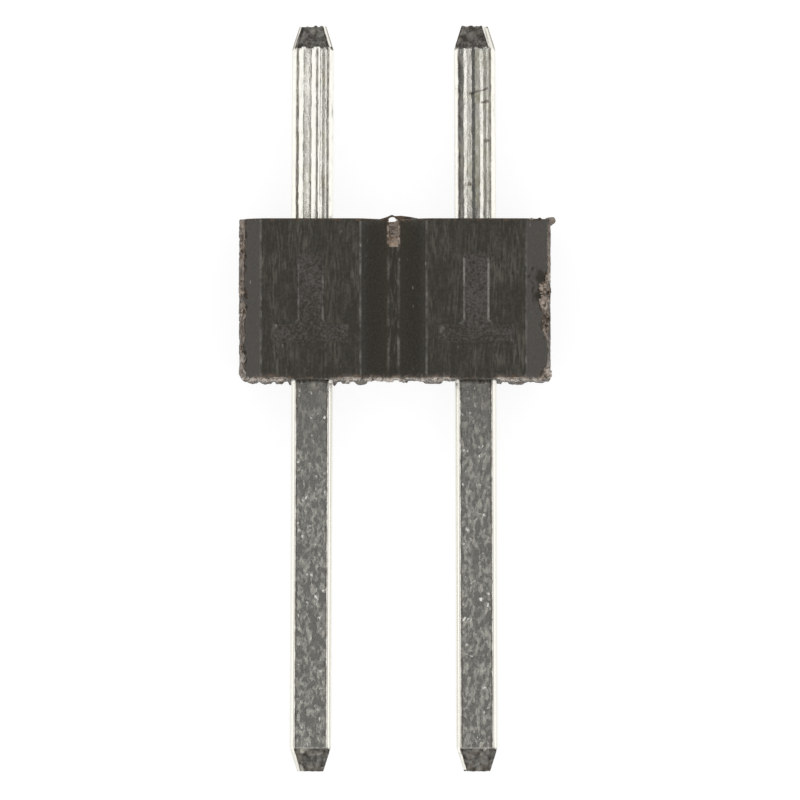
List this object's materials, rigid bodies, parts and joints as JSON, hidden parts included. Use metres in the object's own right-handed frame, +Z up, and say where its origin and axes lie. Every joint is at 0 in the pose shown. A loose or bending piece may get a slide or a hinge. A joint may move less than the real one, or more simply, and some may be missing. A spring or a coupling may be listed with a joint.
{
  "type": "pin header",
  "caption": "Straight breakaway pin header: square tin-bright pins pressed through a black grooved housing, with short solder tails on one side and long mating posts on the other.",
  "frame": {"origin": "middle of the length, halfway between the two pins, on the surface that the header lies on", "axes": "+X along the row, +Y along the pins towards the solder tails, +Z up from the surface that the header lies on"},
  "size_m": [0.0049, 0.0116, 0.0025],
  "materials": {
    "black_plastic": "moulded black, scuffed lengthwise, torn pale at the broken ends",
    "tinned_pins": "bright tin with drawn lines on the tails and fine scratches on the posts"
  },
  "bodies": {
    "root": {"housing": "black_plastic", "left_pin": "tinned_pins", "right_pin": "tinned_pins"}
  },
  "joints": []
}
